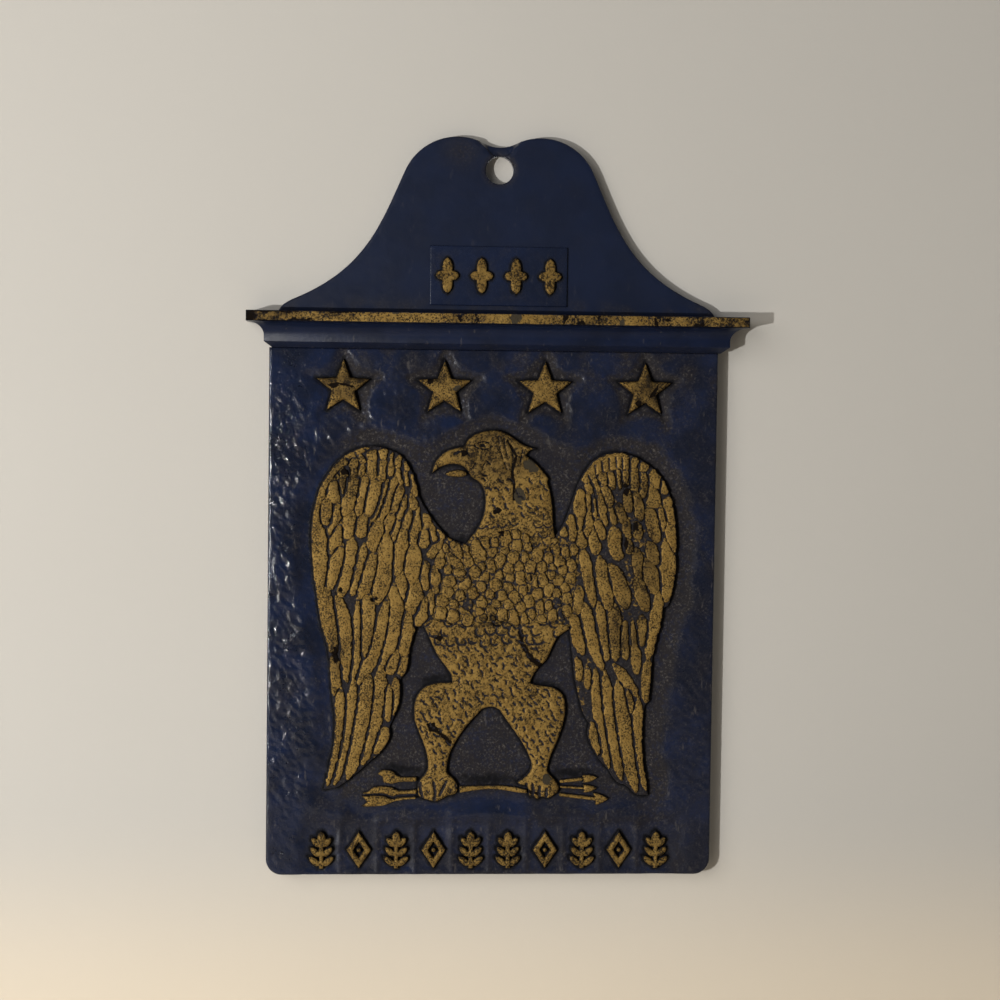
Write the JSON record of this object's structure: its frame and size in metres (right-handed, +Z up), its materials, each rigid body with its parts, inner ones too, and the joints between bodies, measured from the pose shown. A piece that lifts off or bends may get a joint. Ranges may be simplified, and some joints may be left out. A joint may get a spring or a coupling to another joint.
{
  "type": "eagle wall plaque",
  "caption": "Cast wall plaque with a scalloped crest and hanging hole, a moulded cornice, stars, a spread eagle in low relief holding arrows, and a frieze of small ornaments.",
  "frame": {"origin": "axis of the hanging hole in the back plane, which lies against the wall", "axes": "+Z up along the plaque's height, the decorated face towards -Y, +Y into the wall, +X to the viewer's right"},
  "size_m": [0.1486, 0.0128, 0.221],
  "materials": {
    "navy_enamel": "gloss enamel over a rough casting, dusty in the hollows",
    "sunk_enamel": "dark enamel with grey-brown dust",
    "gilded_relief": "worn bronze paint rubbed on the raised tops, pitted"
  },
  "bodies": {
    "root": {"field_panel": "navy_enamel", "crest_panel": "navy_enamel", "cornice": "navy_enamel", "cornice_fillet": "gilded_relief", "crest_tablet": "navy_enamel", "tablet_blossoms": "gilded_relief", "stars": "gilded_relief", "frieze_sprigs": "gilded_relief", "frieze_lozenges": "gilded_relief", "left_wing": "sunk_enamel", "left_coverts": "gilded_relief", "left_secondaries": "gilded_relief", "left_primaries": "gilded_relief", "right_wing": "sunk_enamel", "right_coverts": "gilded_relief", "right_secondaries": "gilded_relief", "right_primaries": "gilded_relief", "eagle_breast": "sunk_enamel", "breast_feathers": "gilded_relief", "eagle_head": "gilded_relief", "lower_beak": "gilded_relief", "eagle_belly": "gilded_relief", "left_leg": "gilded_relief", "right_leg": "gilded_relief", "arrows": "gilded_relief"}
  },
  "joints": []
}
